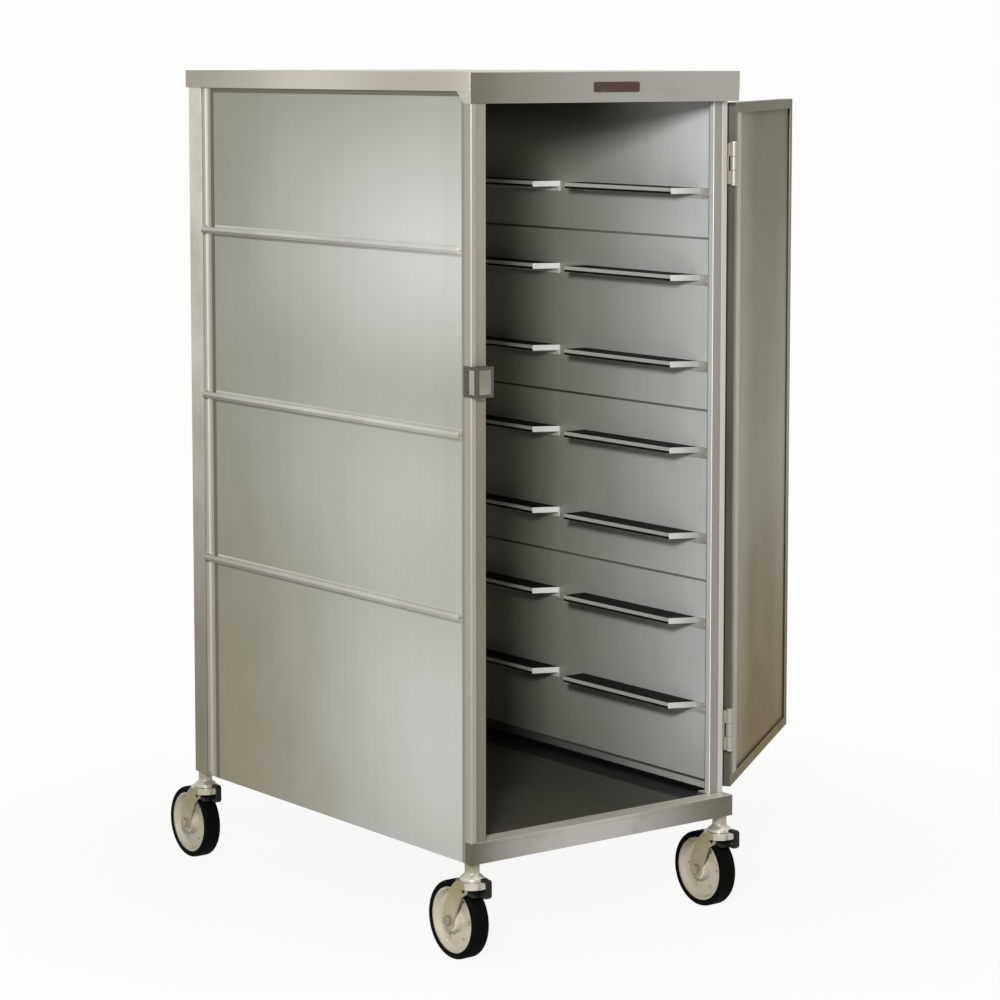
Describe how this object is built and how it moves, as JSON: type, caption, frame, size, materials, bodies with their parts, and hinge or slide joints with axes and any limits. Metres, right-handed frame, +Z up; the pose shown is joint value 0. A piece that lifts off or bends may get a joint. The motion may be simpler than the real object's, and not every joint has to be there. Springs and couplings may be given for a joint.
{
  "type": "enclosed meal tray cart",
  "caption": "Upright sheet steel cabinet on four swivel casters, with a side-hinged door and ledges that carry meal trays two deep.",
  "frame": {"origin": "on the floor, below the middle of the whole cart's box with the door standing open as in the picture", "axes": "+Z up; -Y out of the front (the doorway); +X to the right of someone facing the doorway, the side the door is hinged on"},
  "size_m": [0.9864, 0.9424, 1.405],
  "materials": {
    "frame_steel": "satin, polished along its length",
    "wall_steel": "satin sheet with a fine vertical grain",
    "door_steel": "satin sheet",
    "ledge_steel": "satin, worn bright along the edges by trays",
    "deck_steel": "dull, scuffed",
    "latch_metal": "cast, brushed",
    "zinc_plate": "bright zinc plate",
    "fastener_steel": "plated",
    "pedal_black": "black coat, satin",
    "wheel_centre": "moulded, semi-gloss",
    "tyre_rubber": "smooth rubber tread"
  },
  "bodies": {
    "cabinet": {"base_front_sill": "frame_steel", "base_rear_rail": "frame_steel", "base_side_rails": "frame_steel", "deck_pan": "deck_steel", "front_left_post": "frame_steel", "front_right_post": "frame_steel", "rear_posts": "frame_steel", "front_header": "frame_steel", "roof_pan": "frame_steel", "left_side_sheets": "wall_steel", "right_side_sheets": "wall_steel", "rear_sheets": "wall_steel", "left_side_ribs": "frame_steel", "right_side_ribs": "frame_steel", "rear_ribs": "frame_steel", "tray_ledges_1": "ledge_steel", "tray_ledges_2": "ledge_steel", "tray_ledges_3": "ledge_steel", "tray_ledges_4": "ledge_steel", "tray_ledges_5": "ledge_steel", "tray_ledges_6": "ledge_steel", "tray_ledges_7": "ledge_steel", "ledge_rivets": "fastener_steel", "hinge_post_leaves": "frame_steel", "hinge_pins": "fastener_steel", "hinge_post_screws": "fastener_steel", "latch_keeper": "latch_metal", "keeper_screws": "fastener_steel", "caster_stems": "zinc_plate"},
    "door": {"door_outer_pan": "door_steel", "door_inner_sheet": "door_steel", "door_hinge_stile": "frame_steel", "hinge_door_leaves": "frame_steel", "hinge_door_screws": "fastener_steel", "latch_plate_base": "latch_metal", "latch_screws": "fastener_steel", "latch_pivot_bolt": "fastener_steel"},
    "lever": {"latch_lever": "latch_metal"},
    "caster_front_left": {"fork_front_left": "zinc_plate", "axle_front_left": "fastener_steel"},
    "roller_front_left": {"wheel_front_left": "wheel_centre", "tyre_front_left": "tyre_rubber"},
    "pedal_front_left": {"brake_front_left": "pedal_black"},
    "caster_front_right": {"fork_front_right": "zinc_plate", "axle_front_right": "fastener_steel"},
    "roller_front_right": {"wheel_front_right": "wheel_centre", "tyre_front_right": "tyre_rubber"},
    "pedal_front_right": {"brake_front_right": "pedal_black"},
    "caster_rear_left": {"fork_rear_left": "zinc_plate", "axle_rear_left": "fastener_steel"},
    "roller_rear_left": {"wheel_rear_left": "wheel_centre", "tyre_rear_left": "tyre_rubber"},
    "pedal_rear_left": {"brake_rear_left": "pedal_black"},
    "caster_rear_right": {"fork_rear_right": "zinc_plate", "axle_rear_right": "fastener_steel"},
    "roller_rear_right": {"wheel_rear_right": "wheel_centre", "tyre_rear_right": "tyre_rubber"},
    "pedal_rear_right": {"brake_rear_right": "pedal_black"}
  },
  "joints": [
    {"name": "door_hinge", "type": "hinge", "parent": "cabinet", "child": "door", "pos_m": [0.07476, -0.42225, 0.778], "axis": [0, 0, 1], "range_deg": [-217, 6]},
    {"name": "latch_turn", "type": "hinge", "parent": "door", "child": "lever", "pos_m": [0.44974, -0.104, 0.927], "axis": [0.6018, -0.7986, 0], "range_deg": [-100, 0]},
    {"name": "swivel_front_left", "type": "hinge", "parent": "cabinet", "child": "caster_front_left", "pos_m": [-0.46724, -0.42525, 0.13], "axis": [0, 0, 1], "continuous": true},
    {"name": "swivel_front_right", "type": "hinge", "parent": "cabinet", "child": "caster_front_right", "pos_m": [0.05076, -0.42525, 0.13], "axis": [0, 0, 1], "continuous": true},
    {"name": "swivel_rear_left", "type": "hinge", "parent": "cabinet", "child": "caster_rear_left", "pos_m": [-0.46724, 0.37175, 0.13], "axis": [0, 0, 1], "continuous": true},
    {"name": "swivel_rear_right", "type": "hinge", "parent": "cabinet", "child": "caster_rear_right", "pos_m": [0.05076, 0.37175, 0.13], "axis": [0, 0, 1], "continuous": true},
    {"name": "roll_front_left", "type": "hinge", "parent": "caster_front_left", "child": "roller_front_left", "pos_m": [-0.46724, -0.38925, 0.0635], "axis": [1, 0, 0], "continuous": true},
    {"name": "roll_front_right", "type": "hinge", "parent": "caster_front_right", "child": "roller_front_right", "pos_m": [0.05076, -0.38925, 0.0635], "axis": [1, 0, 0], "continuous": true},
    {"name": "roll_rear_left", "type": "hinge", "parent": "caster_rear_left", "child": "roller_rear_left", "pos_m": [-0.46724, 0.40775, 0.0635], "axis": [1, 0, 0], "continuous": true},
    {"name": "roll_rear_right", "type": "hinge", "parent": "caster_rear_right", "child": "roller_rear_right", "pos_m": [0.05076, 0.40775, 0.0635], "axis": [1, 0, 0], "continuous": true},
    {"name": "brake_press_front_left", "type": "hinge", "parent": "caster_front_left", "child": "pedal_front_left", "pos_m": [-0.46724, -0.42925, 0.12], "axis": [1, 0, 0], "range_deg": [0, 10]},
    {"name": "brake_press_front_right", "type": "hinge", "parent": "caster_front_right", "child": "pedal_front_right", "pos_m": [0.05076, -0.42925, 0.12], "axis": [1, 0, 0], "range_deg": [0, 10]},
    {"name": "brake_press_rear_left", "type": "hinge", "parent": "caster_rear_left", "child": "pedal_rear_left", "pos_m": [-0.46724, 0.36775, 0.12], "axis": [1, 0, 0], "range_deg": [0, 10]},
    {"name": "brake_press_rear_right", "type": "hinge", "parent": "caster_rear_right", "child": "pedal_rear_right", "pos_m": [0.05076, 0.36775, 0.12], "axis": [1, 0, 0], "range_deg": [0, 10]}
  ]
}
